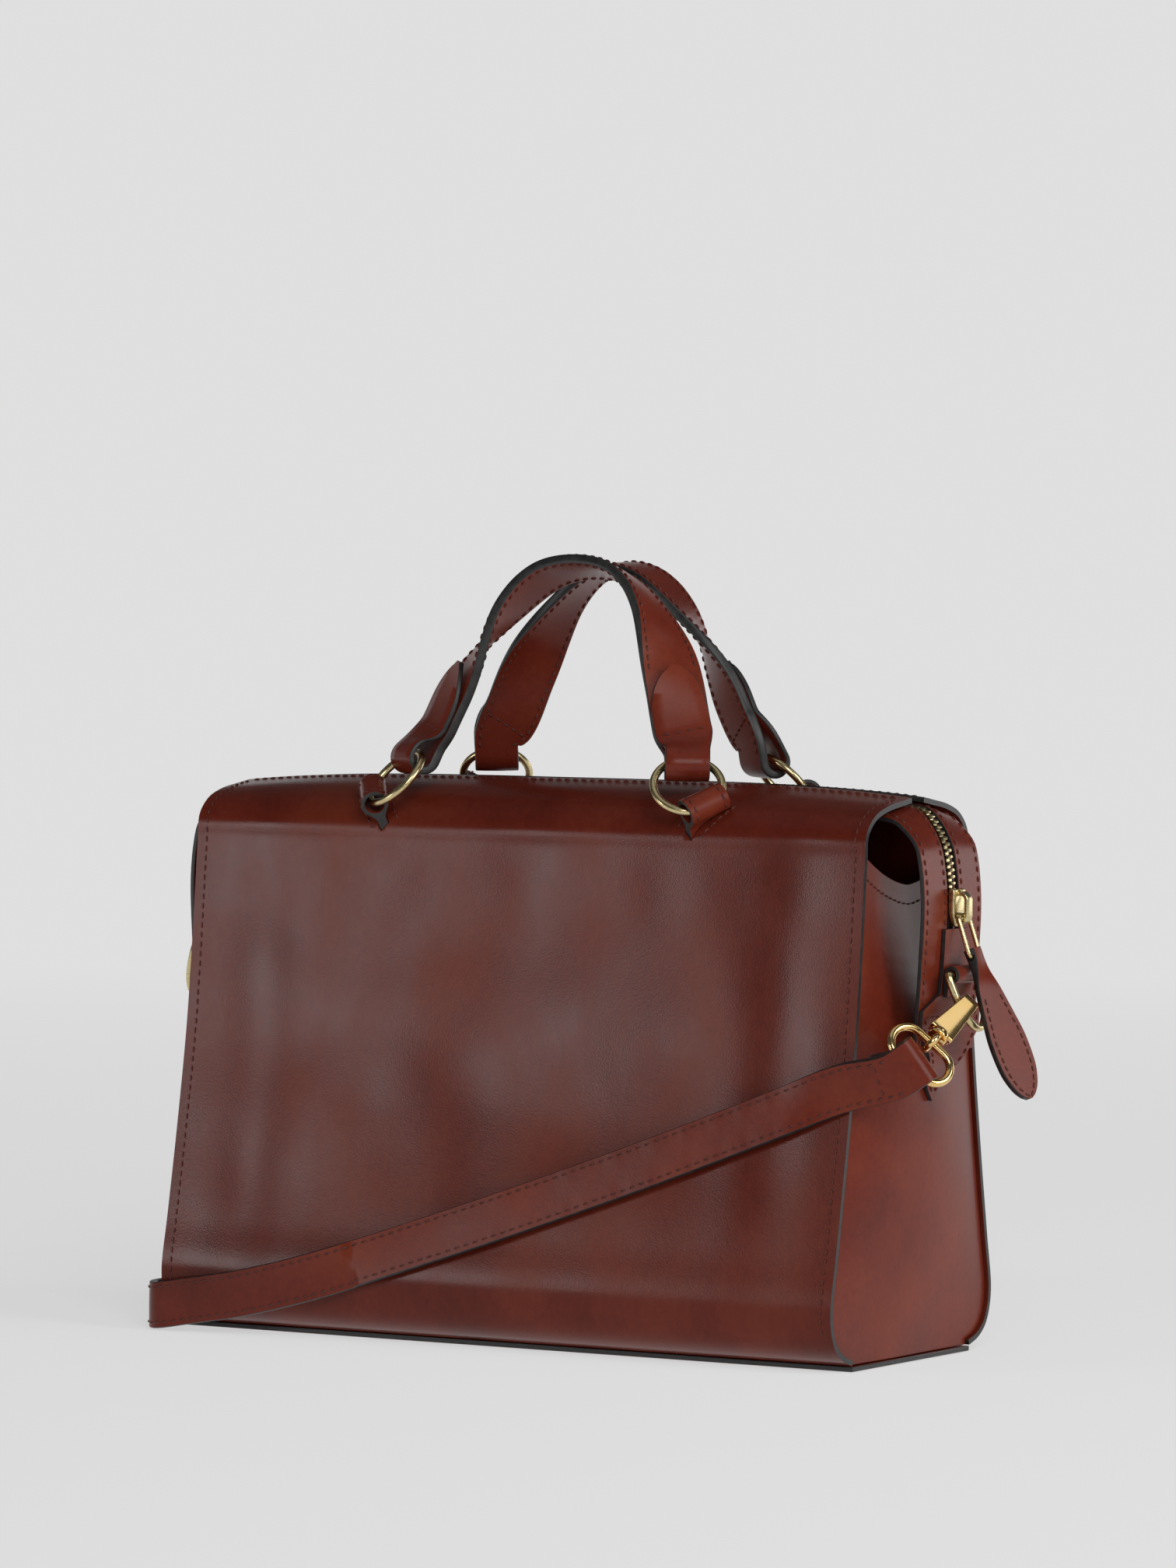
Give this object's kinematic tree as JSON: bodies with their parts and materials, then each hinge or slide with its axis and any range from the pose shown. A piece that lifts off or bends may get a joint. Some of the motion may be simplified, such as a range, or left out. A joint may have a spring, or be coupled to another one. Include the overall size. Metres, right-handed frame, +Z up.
{
  "type": "boston bag",
  "caption": "Boston bag in polished leather with open-sided panels, a zip over the top, handles on metal rings and a shoulder strap on snap hooks.",
  "frame": {"origin": "middle of the base's underside, on the floor", "axes": "+X to the end with the zip slider, -Y to the front panel, +Z up"},
  "size_m": [0.3783, 0.1624, 0.302],
  "materials": {
    "chestnut_leather": "polished, semi-gloss",
    "pale_brass": "brushed",
    "polished_gold": "polished"
  },
  "bodies": {
    "bag": {"front_panel": "chestnut_leather", "rear_panel": "chestnut_leather", "base_panel": "chestnut_leather", "gusset_right": "chestnut_leather", "gusset_left": "chestnut_leather", "zip_strip_front": "chestnut_leather", "zip_strip_rear": "chestnut_leather", "zip_pull": "chestnut_leather", "side_tab_right": "chestnut_leather", "side_tab_left": "chestnut_leather", "side_loop_right": "chestnut_leather", "side_loop_left": "chestnut_leather", "shoulder_strap": "chestnut_leather", "handle_front": "chestnut_leather", "handle_rear": "chestnut_leather", "handle_loop_front_left": "chestnut_leather", "handle_loop_front_right": "chestnut_leather", "handle_loop_rear_left": "chestnut_leather", "handle_loop_rear_right": "chestnut_leather", "zip_chain": "pale_brass", "zip_slider": "pale_brass", "zip_bail": "pale_brass", "side_ring_right": "pale_brass", "side_ring_left": "pale_brass", "handle_ring_front_left": "pale_brass", "handle_ring_front_right": "pale_brass", "handle_ring_rear_left": "pale_brass", "handle_ring_rear_right": "pale_brass", "hook_body_right": "polished_gold", "hook_body_left": "polished_gold", "hook_swivel_right": "polished_gold", "hook_swivel_left": "polished_gold", "hook_link_right": "polished_gold", "hook_link_left": "polished_gold"},
    "gate_right": {"hook_gate_right": "polished_gold"},
    "gate_left": {"hook_gate_left": "polished_gold"}
  },
  "joints": [
    {"name": "gate_right_hinge", "type": "hinge", "parent": "bag", "child": "gate_right", "pos_m": [0.17165, -0.02582, 0.12571], "axis": [0.6614, 0.3024, -0.6863], "range_deg": [0, 16], "stiffness_Nm_per_rad": 0.02, "springref_deg": -17.19},
    {"name": "gate_left_hinge", "type": "hinge", "parent": "bag", "child": "gate_left", "pos_m": [-0.17165, 0.02582, 0.12571], "axis": [-0.6614, -0.3024, -0.6863], "range_deg": [0, 16], "stiffness_Nm_per_rad": 0.02, "springref_deg": -17.19}
  ]
}
